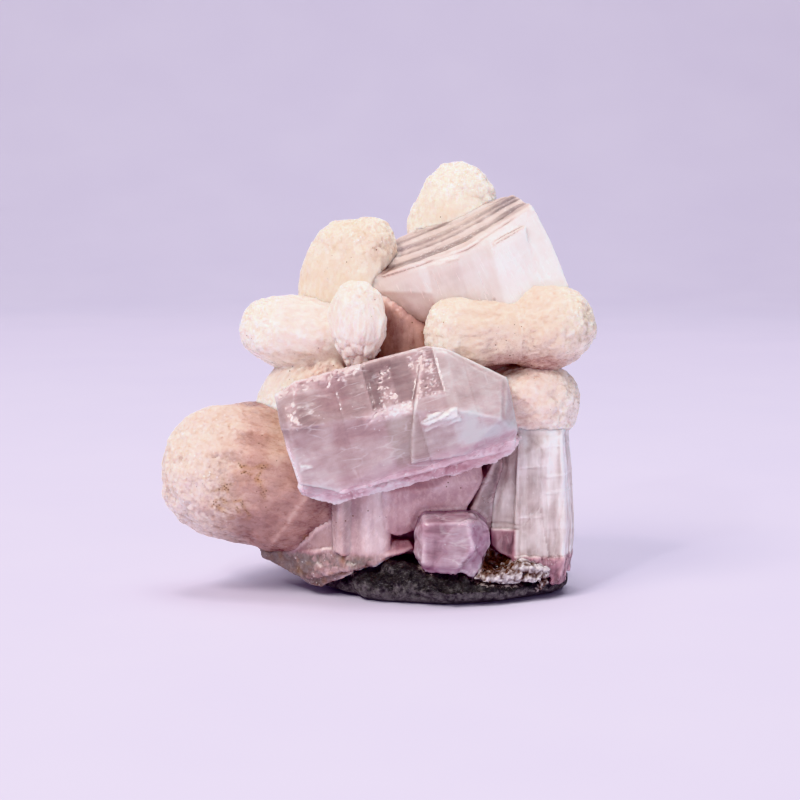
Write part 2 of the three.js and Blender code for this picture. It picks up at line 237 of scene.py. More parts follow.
def from_solids(name, nodes, spacing):
    """A fine mesh of these nodes' solids, which it stands for."""
    mesh = bpy.data.meshes.new(name)
    corners, faces = solids(nodes)
    mesh.from_pydata(corners, [], faces)
    piece = bpy.data.objects.new(name, mesh)
    bpy.context.scene.collection.objects.link(piece)
    remeshed(piece, spacing)
    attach(piece, "root")
    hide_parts(*nodes)
    return piece


def paint(piece, name, values):
    """Keeps a number or a direction for each point, for the materials to read."""
    kind = "FLOAT_VECTOR" if values.ndim == 2 else "FLOAT"
    layer = piece.data.attributes.new(name, kind, "POINT")
    layer.data.foreach_set("vector" if values.ndim == 2 else "value", values.astype(np.float32).ravel())


def values_of(piece, name):
    """The numbers that paint kept."""
    values = np.empty(len(piece.data.vertices), np.float32)
    piece.data.attributes[name].data.foreach_get("value", values)
    return values.astype(float)


def repaint(piece, name, values):
    """Changes numbers that paint kept."""
    piece.data.attributes[name].data.foreach_set("value", np.clip(values, 0, 1).astype(np.float32))


def tint(piece, across, up, tone, blush, zones=()):
    """Paints how light and how pink each point is: evenly, then zone by zone.

    A zone is left, right, bottom, top, softness, how much lighter and how much pinker.
    """
    tone = np.broadcast_to(tone, across.shape)
    blush = np.broadcast_to(blush, across.shape)
    for left, right, bottom, top, soft, lighter, pinker in zones:
        share = within(across, left, right, soft) * within(up, bottom, top, soft)
        tone = tone + lighter * share
        blush = blush + pinker * share
    paint(piece, "tone", np.clip(tone, 0, 1))
    paint(piece, "blush", np.clip(blush, 0, 1))


def finish_piece(piece, material):
    piece.data.materials.clear()
    piece.data.materials.append(material)
    piece.data.shade_smooth()


# Materials

def linear(colour):
    """An sRGB hex colour as the linear values that a shader takes."""
    parts = [int(colour[i : i + 2], 16) / 255 for i in (1, 3, 5)]
    return [p / 12.92 if p <= 0.04045 else ((p + 0.055) / 1.055) ** 2.4 for p in parts] + [1]


# A Mix node has a socket of each kind. These are its colours and its share.
SHARE, UNDER, OVER, MIXED = 0, 6, 7, 2


def add(tree, kind, inputs=None, stops=(), **settings):
    """Adds a shader node with its settings. An input is a number, a hex colour, or the node
    or output that feeds it. Stops are a ramp's places with a hex colour or a number each."""
    made = tree.nodes.new("ShaderNode" + kind)
    if kind == "Mix":
        made.data_type = "RGBA"
    for name, value in settings.items():
        setattr(made, name, value)
    for name, value in (inputs or {}).items():
        if isinstance(value, bpy.types.Node):
            value = value.outputs[MIXED if value.bl_idname == "ShaderNodeMix" else 0]
        if isinstance(value, bpy.types.NodeSocket):
            tree.links.new(value, made.inputs[name])
        else:
            made.inputs[name].default_value = linear(value) if isinstance(value, str) else value
    for number, (place, colour) in enumerate(stops):
        elements = made.color_ramp.elements
        element = elements[number] if number < 2 else elements.new(place)
        element.position = place
        element.color = linear(colour) if isinstance(colour, str) else [colour] * 3 + [1]
    return made


def new_material(name):
    """An empty material, its output, and the place on the object in millimetres."""
    material = bpy.data.materials.new(name)
    material.use_nodes = True
    tree = material.node_tree
    tree.nodes.clear()
    out = add(tree, "OutputMaterial")
    place = add(tree, "TexCoord").outputs["Object"]
    in_mm = add(tree, "VectorMath", {0: place, "Scale": 1 / MM}, operation="SCALE")
    return material, tree, out, in_mm


def swayed(tree, value, pattern, amount):
    """The value, moved up and down by a pattern that runs from 0 to 1."""
    lifted = add(tree, "Math", {0: pattern, 1: amount, 2: value}, operation="MULTIPLY_ADD")
    return add(tree, "Math", {0: lifted, 1: amount / 2}, operation="SUBTRACT")


def tilted_faces(tree, place, size, tilt):
    """The surface's normal, leaning its own way on each small crystal face, so that the faces
    catch the light one by one."""
    faces = add(tree, "TexVoronoi", {"Vector": place, "Scale": 1 / size})
    way = add(tree, "VectorMath", {0: faces.outputs["Color"], 1: (0.5, 0.5, 0.5)}, operation="SUBTRACT")
    lean = add(tree, "VectorMath", {0: way, "Scale": tilt}, operation="SCALE")
    normal = add(tree, "NewGeometry").outputs["Normal"]
    leant = add(tree, "VectorMath", {0: normal, 1: lean}, operation="ADD")
    return add(tree, "VectorMath", {0: leant}, operation="NORMALIZE")


def with_dots(
    tree, place, colour, dot, apart, size, where=1.0, most=1.0, group=4.5, detail=1.0, often=(0.5, 0.6)
):
    """Dots of another colour, in loose groups."""
    dots = add(tree, "TexVoronoi", {"Vector": place, "Scale": 1 / apart})
    groups = add(tree, "TexNoise", {"Vector": place, "Scale": 1 / group, "Detail": detail})
    near = add(tree, "ValToRGB", {"Fac": dots}, [(0.5 * size / apart, most), (size / apart, 0.0)])
    grouped = add(tree, "ValToRGB", {"Fac": groups}, [(often[0], 0.0), (often[1], 1.0)])
    share = add(tree, "Math", {0: near, 1: grouped}, operation="MULTIPLY")
    share = add(tree, "Math", {0: share, 1: where}, operation="MULTIPLY")
    return add(tree, "Mix", {SHARE: share, UNDER: colour, OVER: dot})


def with_painted_glints(tree, place, colour, where, apart, size):
    """Painted highlights: white points where a tiny crack or crystal end throws the light back."""
    return with_dots(tree, place, colour, "#ffffff", apart, size, where, 0.9, 3.2, 2.0, (0.48, 0.56))


def body_colour(tree, tone, plain, pink):
    """The mineral's colour at this tone, from its plain to its pink series by the blush."""
    blush = add(tree, "Attribute", attribute_name="blush")
    plainly = add(tree, "ValToRGB", {"Fac": tone}, plain)
    pinkly = add(tree, "ValToRGB", {"Fac": tone}, pink)
    return add(tree, "Mix", {SHARE: blush, UNDER: plainly, OVER: pinkly})


def with_rust(tree, place, colour):
    """Iron rust that crept along cracks: tiny brown crumbs in a thin yellow-brown stain."""
    marked = add(tree, "Attribute", attribute_name="rust")
    stains = add(tree, "TexNoise", {"Vector": place, "Scale": 1 / 0.9, "Detail": 5.0, "Roughness": 0.7})
    near = swayed(tree, marked, stains, 0.9)
    thin = add(tree, "ValToRGB", {"Fac": near}, [(0.2, 0.0), (1.0, 0.6), (0.6, 0.3)])
    colour = add(tree, "Mix", {SHARE: thin, UNDER: colour, OVER: "#a97f50"})
    crumbs = add(tree, "TexVoronoi", {"Vector": place, "Scale": 1 / 0.42})
    heart = add(tree, "ValToRGB", {"Fac": crumbs}, [(0.28, 0.85), (0.46, 0.0)])
    thick = add(tree, "ValToRGB", {"Fac": near}, [(0.46, 0.0), (0.72, 1.0)])
    share = add(tree, "Math", {0: heart, 1: thick}, operation="MULTIPLY")
    return add(tree, "Mix", {SHARE: share, UNDER: colour, OVER: "#5f4022"})


# Where the colours of a series stand, from the darkest tone, 0, to the lightest, 1.
TONES = (0.0, 1.0, 0.3, 0.55, 0.8)


def series(*colours):
    """A mineral's colours at these tones."""
    return list(zip(TONES, colours))


# Stilbite is cream where it is clean and rose where it is thick or stained.
STILBITE_CREAM = series("#7a5446", "#fdfaf6", "#c0a18e", "#e3d1bd", "#f2e8db")
STILBITE_ROSE = series("#713f48", "#fdfaf9", "#b78a8c", "#dcc1bd", "#f4e8e5")

# The glassy blades of the base are greyer, and lilac where they are thick.
BLADE_GREY = series("#5f4a48", "#faf6f6", "#a08584", "#c6adae", "#e3d4d6")
BLADE_LILAC = series("#4f2c33", "#fbf3f5", "#976a75", "#c2999f", "#e4c9cf")


def stilbite(name, plain=STILBITE_CREAM, pink=STILBITE_ROSE, sheen=(0.17, 0.46), grain=1.0):
    """Stilbite, grown as sheaves of thin blades: silky along them, sugary at their ends,
    and lit from inside like wax. Small dark specks sit on the surface."""
    material, tree, out, place = new_material(name)
    ray = add(tree, "Attribute", attribute_name="ray").outputs["Vector"]
    crown = add(tree, "Attribute", attribute_name="crown")
    tone = add(tree, "Attribute", attribute_name="tone")

    patches = add(tree, "TexNoise", {"Vector": place, "Scale": 1 / 3.4, "Detail": 6.0, "Roughness": 0.62})
    blades = add(tree, "TexNoise", {"Vector": ray, "Scale": 26.0, "Detail": 6.0, "Roughness": 0.72})
    # Crystal ends 0.4 mm across, drawn slightly coarser than real.
    ends = add(tree, "TexNoise", {"Vector": place, "Scale": 1 / 0.8, "Detail": 5.0, "Roughness": 0.78})
    tone = swayed(tree, tone, patches, 0.46 * grain)
    tone = swayed(tree, tone, blades, 0.3 * grain)
    sugared = add(tree, "Math", {0: crown, 1: 0.5 * grain, 2: 0.16 * grain}, operation="MULTIPLY_ADD")
    speckle = add(tree, "Math", {0: ends, 1: sugared}, operation="MULTIPLY")
    level = add(tree, "Math", {0: sugared, 1: -0.5, 2: speckle}, operation="MULTIPLY_ADD")
    tone = add(tree, "Math", {0: tone, 1: level}, operation="ADD")
    colour = body_colour(tree, tone, plain, pink)

    # At the crown the blades end in clear tips that show grey, and frosted ones that show white.
    mottle = add(tree, "TexNoise", {"Vector": place, "Scale": 1 / 1.5, "Detail": 5.0, "Roughness": 0.7})
    tips = add(
        tree, "ValToRGB", {"Fac": mottle}, [(0.32, "#b3a68e"), (0.64, "#fffefa"), (0.48, "#e9e0d2")]
    )
    share = add(tree, "Math", {0: crown, 1: 0.42}, operation="MULTIPLY")
    colour = add(tree, "Mix", {SHARE: share, UNDER: colour, OVER: tips})
    # Painted highlights: white glint points on the crown.
    colour = with_painted_glints(tree, place, colour, crown, 0.8, 0.17)
    colour = with_dots(tree, place, colour, "#6a4c34", 1.3, 0.17)
    colour = with_rust(tree, place, colour)

    rough = add(tree, "ValToRGB", {"Fac": blades}, [(0.35, sheen[0]), (0.65, sheen[1])])
    lean = add(tree, "Math", {0: crown, 1: 0.5, 2: 0.12}, operation="MULTIPLY_ADD")
    faces = tilted_faces(tree, place, 0.65, lean)
    silky = add(tree, "Bump", {"Height": blades, "Strength": 0.6, "Distance": 0.14 * MM, "Normal": faces})
    surface = add(
        tree,
        "BsdfPrincipled",
        {
            "Base Color": colour,
            "Roughness": rough,
            "IOR": 1.5,
            "Normal": silky,
            "Subsurface Weight": 0.85,
            "Subsurface Radius": (1.0, 0.76, 0.6),
            "Subsurface Scale": 1.7 * MM,
        },
    )
    tree.links.new(surface.outputs["BSDF"], out.inputs["Surface"])
    return material


# Apophyllite runs from grey to white, or through rose and lilac.
APOPHYLLITE_GREY = series("#5a5050", "#fefdfd", "#9e8f8b", "#cbbbb5", "#ebe2de")
APOPHYLLITE_ROSE = series("#5d3a42", "#fef6f8", "#a87d87", "#d1a8b1", "#ecd1d7")
APOPHYLLITE_LILAC = series("#55333f", "#fdf4f9", "#a07388", "#cb9eb5", "#e6c9d9")
APOPHYLLITE_WARM = series("#62372f", "#fbf4f1", "#a4796f", "#cbaaa1", "#e6d2cc")


def apophyllite(name, pink, clear, tinge, depth, veiling=0.55, ruling=0.16, lean=0.08):
    """Apophyllite, grown as blocks with one perfect cleavage: glassy faces with fine lines,
    over a body foggy with veils and healed cracks. Light that gets through takes its tinge."""
    material, tree, out, place = new_material(name)
    grain = add(tree, "Attribute", attribute_name="grain").outputs["Vector"]
    tone = add(tree, "Attribute", attribute_name="tone")
    rough = add(tree, "Attribute", attribute_name="rough")
    frost = add(tree, "Attribute", attribute_name="frost")

    # Along the grain everything is drawn out: veils 3 mm wide, lines 0.5 mm apart. Steps of
    # growth run across it, about 2 mm apart.
    long_veils = add(tree, "VectorMath", {0: grain, 1: (0.55, 1, 1)}, operation="MULTIPLY")
    long_lines = add(tree, "VectorMath", {0: grain, 1: (0.09, 1, 1)}, operation="MULTIPLY")
    wide_steps = add(tree, "VectorMath", {0: grain, 1: (1, 0.12, 0.12)}, operation="MULTIPLY")
    veils = add(
        tree,
        "TexNoise",
        {"Vector": long_veils, "Scale": 1 / 2.6, "Detail": 8.0, "Roughness": 0.72, "Distortion": 0.5},
    )
    lines = add(tree, "TexNoise", {"Vector": long_lines, "Scale": 1 / 0.6, "Detail": 4.0})
    steps = add(tree, "TexNoise", {"Vector": wide_steps, "Scale": 1 / 1.9, "Detail": 3.0})
    tone = swayed(tree, tone, veils, veiling)
    tone = swayed(tree, tone, lines, ruling)
    tone = swayed(tree, tone, steps, 0.18)
    colour = body_colour(tree, tone, APOPHYLLITE_GREY, pink)

    # Healed cracks: a net of fine pale lines that shows in patches.
    swirl = add(tree, "VectorMath", {0: veils.outputs["Color"], "Scale": 0.8}, operation="SCALE")
    drawn = add(tree, "VectorMath", {0: grain, 1: (0.3, 1, 1)}, operation="MULTIPLY")
    bent = add(tree, "VectorMath", {0: drawn, 1: swirl}, operation="ADD")
    net = add(tree, "TexVoronoi", {"Vector": bent, "Scale": 1 / 1.8}, feature="DISTANCE_TO_EDGE")
    thin = add(tree, "ValToRGB", {"Fac": net}, [(0.01, 1.6 * veiling**2), (0.06, 0.0)])
    parts = add(tree, "TexNoise", {"Vector": place, "Scale": 1 / 5, "Detail": 2.0})
    some = add(tree, "ValToRGB", {"Fac": parts}, [(0.5, 0.0), (0.62, 1.0)])
    share = add(tree, "Math", {0: thin, 1: some}, operation="MULTIPLY")
    colour = add(tree, "Mix", {SHARE: share, UNDER: colour, OVER: "#fbf3f5"})
    # Painted highlights: white glint points, scaled by the veiling, and more where the surface is frosted.
    colour = with_painted_glints(tree, place, colour, veiling, 1.4, 0.18)
    colour = with_painted_glints(tree, place, colour, frost, 0.7, 0.24)

    through = add(tree, "Math", {0: frost, 1: -clear, 2: clear}, operation="MULTIPLY_ADD")
    rough = swayed(tree, rough, lines, 0.24)
    tilt = add(tree, "Math", {0: frost, 1: 0.5, 2: lean}, operation="MULTIPLY_ADD")
    stretched = add(tree, "VectorMath", {0: grain, 1: (0.5, 1, 1)}, operation="MULTIPLY")
    faces = tilted_faces(tree, stretched, 1.1, tilt)
    ruled = add(tree, "Bump", {"Height": lines, "Strength": 0.25, "Distance": 0.1 * MM, "Normal": faces})
    surface = add(
        tree,
        "BsdfPrincipled",
        {
            "Base Color": colour,
            "Roughness": rough,
            "IOR": 1.535,
            "Normal": ruled,
            "Transmission Weight": through,
            "Subsurface Weight": 0.85,
            "Subsurface Radius": (1.0, 0.8, 0.82),
            "Subsurface Scale": 1.5 * MM,
        },
    )
    tree.links.new(surface.outputs["BSDF"], out.inputs["Surface"])
    if depth:
        inside = add(tree, "VolumeAbsorption", {"Color": tinge, "Density": depth})
        tree.links.new(inside.outputs["Volume"], out.inputs["Volume"])
    return material


def basalt_stone():
    """Basalt, a fine dark lava stone, broken: matt and gritty, with small pale needles of
    feldspar that lie every way."""
    material, tree, out, place = new_material("basalt")
    crumbs = add(tree, "Attribute", attribute_name="crumbs")
    tone = add(tree, "Attribute", attribute_name="tone")
    patches = add(tree, "TexNoise", {"Vector": place, "Scale": 1 / 1.4, "Detail": 8.0, "Roughness": 0.85})
    shade = add(tree, "Math", {0: patches, 1: tone}, operation="ADD")
    colour = add(
        tree, "ValToRGB", {"Fac": shade}, [(0.36, "#131113"), (0.8, "#86807f"), (0.52, "#292628")]
    )
    # Needles about 0.2 by 1.5 mm, in three directions.
    for turn in ((0.4, 0.9, 0.6), (1.3, -0.5, 2.0), (2.2, 0.3, -0.9)):
        turned = add(tree, "Mapping", {"Vector": place, "Rotation": turn, "Scale": (1, 8, 5)})
        needles = add(tree, "TexVoronoi", {"Vector": turned, "Scale": 1 / 1.5})
        light = add(tree, "ValToRGB", {"Fac": needles}, [(0.1, 0.4), (0.26, 0.0)])
        colour = add(tree, "Mix", {SHARE: light, UNDER: colour, OVER: "#78777a"})
    grit = add(tree, "TexNoise", {"Vector": place, "Scale": 1 / 0.6, "Detail": 5.0, "Roughness": 0.7})
    # Crumbs of the white crust cling to it along the crystals.
    clinging = swayed(tree, crumbs, grit, 1.6)
    white = add(tree, "ValToRGB", {"Fac": clinging}, [(0.62, 0.0), (0.74, 0.9)])
    colour = add(tree, "Mix", {SHARE: white, UNDER: colour, OVER: "#b7a8a6"})
    faces = tilted_faces(tree, place, 0.7, 0.8)
    bump = add(tree, "Bump", {"Height": grit, "Strength": 1.0, "Distance": 0.4 * MM, "Normal": faces})
    surface = add(
        tree,
        "BsdfPrincipled",
        {"Base Color": colour, "Roughness": 0.55, "Normal": bump, "Specular IOR Level": 0.4},
    )
    tree.links.new(surface.outputs["BSDF"], out.inputs["Surface"])
    return material


def druse_skin():
    """White crust of tiny quartz and zeolite crystals in rounded knobs: bright and sugary,
    with iron stain where water stood between them."""
    material, tree, out, place = new_material("white_crust")
    stained = add(tree, "Attribute", attribute_name="stain_and_shade")
    veins = add(tree, "TexNoise", {"Vector": place, "Scale": 1 / 1.2, "Detail": 6.0, "Roughness": 0.7})
    share = swayed(tree, stained, veins, 0.9)
    colour = add(
        tree,
        "ValToRGB",
        {"Fac": share},
        [(0.05, "#ddd6d6"), (0.95, "#33231d"), (0.25, "#b8adb0"), (0.45, "#8d7d7b"), (0.7, "#65493d")],
    )
    # Painted highlights: white glint points on the knobs.
    colour = with_painted_glints(tree, place, colour, 0.8, 0.9, 0.16)
    bump = tilted_faces(tree, place, 0.45, 0.7)
    surface = add(
        tree,
        "BsdfPrincipled",
        {
            "Base Color": colour,
            "Roughness": 0.25,
            "Normal": bump,
            "Subsurface Weight": 0.5,
            "Subsurface Radius": (1.0, 0.85, 0.75),
            "Subsurface Scale": 0.8 * MM,
        },
    )
    tree.links.new(surface.outputs["BSDF"], out.inputs["Surface"])
    return material


# Stilbite sheaves: where each lobe's blades meet, where they end, and its half width.
LOBES = {
    "stilbite_fan": [((1, -5.5, 18.8), (-39.9, -7.8, 23.6), 13.1)],
    "stilbite_left": [
        ((-4.5, -5, 46.6), (-25.2, -6, 49.2), 6.4),
        ((-9, -4, 45.2), (-20.6, -4.4, 31.2), 4.8),
        ((-7, -6, 42.2), (-15.6, -8, 33.6), 4.8),
    ],
    "stilbite_upper_left": [
        ((-8.2, 0, 45.2), (-4.4, -0.4, 68.4), 7.9),
        ((-4.6, -1, 48.2), (-0.2, -2.4, 69.1), 5.6),
    ],
    "stilbite_bud": [((-3.2, -13.6, 42.6), (-3.5, -13.6, 58.4), 5.1)],
    "stilbite_crest": [((12.6, 7.4, 50.2), (16.2, 7.4, 78.8), 8.3), ((14, 7, 54.2), (8.6, 7.4, 71.7), 4.8)],
    "stilbite_bow": [
        ((24.6, -9.8, 49), (39.9, -9.4, 50.2), 7.7),
        ((27, -11.2, 48.6), (8.9, -13.4, 48.6), 6.3),
    ],
    "stilbite_ball": [((21.4, -8, 35.6), (37.4, -9.2, 35.5), 7.3)],
    "stilbite_back_left": [
        ((-2, 8, 22.2), (-19.5, 18.5, 31.7), 8.8),
        ((-2, 8, 18.2), (-17, 16, 12.2), 6.4),
    ],
    "stilbite_back_top": [((4, 7, 40.2), (1.8, 20.6, 54.8), 8), ((8, 7, 38.2), (20.4, 20.4, 46.8), 7.6)],
    "stilbite_heart": [((9, 5, -12), (7, 0, 61.2), 13.5), ((15, 2, 0), (25, -2, 50.2), 9.5)],
    "stilbite_base": [((3, -4, 34), (-6, -14, 2), 12)],
}

# Each sheaf's tone and blush, and its zones (see tint) by x and z.
SHEAF_TINTS = {
    "stilbite_fan": (0.31, 0.4, [(-50, -31, 6, 40, 3, 0.14, 0.3), (-20, 0, 26, 40, 2, 0.08, -0.2)]),
    "stilbite_left": (0.8, 0.5, [(-20, -6, 38, 45.5, 1.5, -0.1, -0.25), (-13, -2, 38, 43, 0.8, -0.2, 0.2)]),
    "stilbite_upper_left": (
        0.64, 0.0, [(-8, 6, 62, 72, 2.5, -0.16, 0.15), (-16, -5, 44, 58, 2, 0.05, -0.1)],
    ),
    "stilbite_bud": (0.82, 0.45, [(-9, 3, 41, 47, 1.5, -0.12, 0.3)]),
    "stilbite_crest": (0.78, 0.0, [(11, 17, 66, 72, 2, -0.06, 0)]),
    # The bow's underside, and the ball's top below it, are painted darker, as shade.
    "stilbite_bow": (0.56, 0.15, [(7, 14, 42, 54, 1.5, 0.06, 0.3), (20, 38, 40, 45, 1.2, -0.2, 0.3)]),
    "stilbite_ball": (0.66, 0.5, [(20, 34, 41, 46, 1.5, -0.12, 0.1)]),
    "stilbite_back_left": (0.68, 0.3, []),
    "stilbite_back_top": (0.7, 0.2, []),
    # The heart lies deep behind the others; its low tone is painted shade, lighter towards its top.
    "stilbite_heart": (0.2, 0.45, [(-2, 12, 54, 60, 1.5, 0.28, 0.0)]),
}

# Rust along cracks in the fan's front, by x and z.
RUST_CRACKS = [
    [(-25.3, 25.3), (-22.4, 24.8), (-19.8, 24.9)],
    [(-19.9, 24.8), (-21.4, 23.2), (-21.1, 21.6), (-20.2, 19.2)],
    [(-24.2, 23.8), (-22.6, 24)],
    [(-29.7, 20.4), (-27.7, 21.6), (-25.9, 21.6)],
    [(-28.3, 21.9), (-27.2, 20.7)],
    [(-29.9, 17.6), (-28.7, 18.6), (-26.8, 18.4)],
    [(-26, 18.9), (-24.5, 18.9), (-23.9, 17.3), (-23.4, 15.1)],
    [(-28.6, 17.4), (-27.8, 16.2), (-26.4, 15.3)],
    [(-25.9, 17.4), (-24.9, 16.4)],
]

# A joint in the fan's lower right, by x and z, beyond which it is thick and brown.
FAN_JOINT = [(-10, 22), (-15, 15.6), (-19.5, 8.6), (-26, 4)]


def cut_fan(fan):
    """Repaints the fan beyond the joint: darker and browner, behind a pale edge."""
    points = points_of(fan)
    x, _, z = points.T
    edge = np.interp(x, *np.array(FAN_JOINT[::-1]).T) + 0.2 * clouds(points, 2, 97)
    below = ease(edge - z, -0.5, 1.0)
    brown = ease(18 - z + 0.35 * (x + 24), -1, 4) * ease(x, -31, -25)
    tone = values_of(fan, "tone") - 0.02 * below - 0.08 * brown + 0.1 * groove(z, edge + 0.5, 0.7)
    repaint(fan, "tone", tone)
    repaint(fan, "blush", values_of(fan, "blush") + 0.1 * brown)


def rusty_cracks(fan):
    """Fine broken cracks on the fan's front, wandering off their course."""
    points = points_of(fan)
    stray = [clouds(points, 1.6, 90 + k) * 0.5 + clouds(points, 0.6, 93 + k) * 0.3 for k in (0, 1)]
    wandering = points[:, [0, 2]] + np.stack(stray, axis=1)
    gap = np.min([off_line(wandering, crack) for crack in RUST_CRACKS], axis=0)
    broken = 0.6 + 0.4 * clouds(points, 1.1, 96)
    in_front = ease(-normals_of(fan)[:, 1], 0.1, 0.4)
    return (0.75 * groove(gap, 0, 0.4) * broken + 0.3 * groove(gap, 0, 1.5)) * in_front


def along_blades(points, lobes):
    """For each point, the direction of its blade from the root and its share of the length."""
    best = np.full(len(points), np.inf)
    ray = np.zeros_like(points)
    reach = np.zeros(len(points))
    for root, tip, width in lobes:
        axis = np.subtract(tip, root)
        length = np.linalg.norm(axis)
        from_root = points - root
        share = from_root @ axis / length**2
        middle = np.clip(share, 0.2, 0.75)[:, None] * axis
        distance = np.linalg.norm(from_root - middle, axis=1) / width
        nearer = distance < best
        best = np.where(nearer, distance, best)
        far = np.linalg.norm(from_root, axis=1)
        ray = np.where(nearer[:, None], from_root / np.maximum(far, 0.1)[:, None], ray)
        reach = np.where(nearer, far / length, reach)
    return ray, reach


def grow_stilbite(node, spacing, swell=0.3, rounds=20, relief=1.0, sugar=1.0, seed=0):
    """Silky blades that radiate from the root, with small rough crystals at their ends."""
    piece = from_solids("sheaf_" + node.removeprefix("stilbite_"), [node], spacing)
    soften(piece, rounds)
    points = points_of(piece)
    ray, reach = along_blades(points, LOBES[node])
    crown = ease(reach + 0.08 * clouds(points, 3.5, seed + 5), 0.62, 0.95)

    broad = clouds(points, 5.5, seed) * 0.4 + clouds(points, 2.6, seed + 1) * 0.22
    blades = clouds(ray, 0.16, seed + 2) * 0.3 + clouds(ray, 0.06, seed + 3) * 0.18
    stems = (1 - 0.6 * crown) * ease(reach, 0.2, 0.5)
    ends = facets(points, 2.2, seed + 4) * 0.15 + facets(points, 0.9, seed + 9) * 0.07
    grown_in = 0.35 * nearness(piece, all_but(node, "stilbite_bud"), 1.2)
    raise_relief(piece, swell + grown_in + relief * (broad + stems * blades) + sugar * crown * ends)
    paint(piece, "ray", ray)
    paint(piece, "crown", crown * min(sugar, 1))
    return piece


def tint_stilbite(piece, node, tone, blush, zones, stain_and_shade=0.07):
    """Warm blades with a paler, greyer crown. Ridges are painted lighter and grooves darker, as painted
    highlight and shade, and the joint to its neighbours is painted darker and pinker, as shade and stain."""
    x, _, z = points_of(piece).T
    near = nearness(piece, all_but(node))
    ridges = standing_out(piece)
    sugary = values_of(piece, "crown")
    # Painted light: ridges lighter, grooves darker, joints darker and pinker as painted shade with some
    # stain.
    tone = tone + 0.1 * ridges - stain_and_shade * near + 0.06 * (sugary - 0.5)
    tint(piece, x, z, tone, blush + 0.2 * near - 0.15 * sugary, zones)
    paint(piece, "rust", 0.6 * near * ease(clouds(points_of(piece), 2.2, 58), -0.1, 0.6))


# Apophyllite pieces

def turned_about(points, centre, roll):
    """Places in a crystal's own directions: along its length, front to back, and up."""
    x, y, z = (points - centre).T
    turn = math.radians(roll)
    return x * math.cos(turn) + z * math.sin(turn), y, z * math.cos(turn) - x * math.sin(turn)


FRONT_MIDDLE = (4.1, -15.6, 34.7)
FRONT_LEAN = 16
# Zones (see tint) inside the front crystal, by its own along and up.
FRONT_ZONES = [
    (-3.8, 9.1, 2.6, 14, 0.3, -0.26, -0.1),
    (-24, -3.8, 2.2, 12, 1.2, -0.14, -0.1),
    (9.1, 24, -1, 12, 1, -0.08, 0.0),
    (9.1, 30, -8, 14, 0.5, 0.12, -0.15),
    (-2.5, 3.5, -8.5, 0.3, 0.5, -0.12, -0.3),
    (3.5, 9, -8, -3, 0.6, -0.03, -0.3),
    (-12, -2.5, -2.4, 1.4, 1.4, -0.16, 0.1),
    (-24, -12, -9, -2, 1.2, 0.06, 0.0),
    (4, 24, -9, -0.5, 1, 0.05, 0.2),
    (-12.5, -7.5, 4.5, 10, 1.5, -0.1, 0.2),
    (10.3, 16.7, -7.4, -5.8, 0.5, 0.2, -0.1),
    (-22, 26, -12, -7.5, 1.5, 0.0, 0.35),
]
# Where small healed cracks show white and painted glints gather: left, right, bottom, top and softness.
FRONT_CHIPS = [
    (-6, 3, 0.6, 2.8, 0.5),
    (-2, 0.8, 3, 9.5, 0.4),
    (4.5, 8.6, 2.5, 10, 0.5),
    (-19, -17, 3.4, 7.5, 0.5),
]
# Patches of splintery cleavage whose steps turn to the light and flash, also painted whiter as a highlight:
# 0.9 mm steps.
FRONT_FLASHES = [(4.6, 10.4, -3.2, -0.6, 0.2), (-19.3, -17.5, -4.4, -3, 0.3)]
SPLINTER = 0.9
# Cracks across the face: where along it, from and up to where, and how deep.
FRONT_CRACKS = [
    (-3.8, 2.6, 14, 0.16),
    (9.1, 2.6, 14, 0.14),
    (3.5, -10, 0.3, 0.1),
    (-9.6, -10, 12, 0.05),
    (14, -9, 9, 0.06),
]


def front_chips(along, up):
    chips = np.zeros(len(along))
    for left, right, bottom, top, soft in FRONT_CHIPS:
        chips += within(along, left, right, soft) * within(up, bottom, top, soft)
    return np.clip(chips, 0, 1)


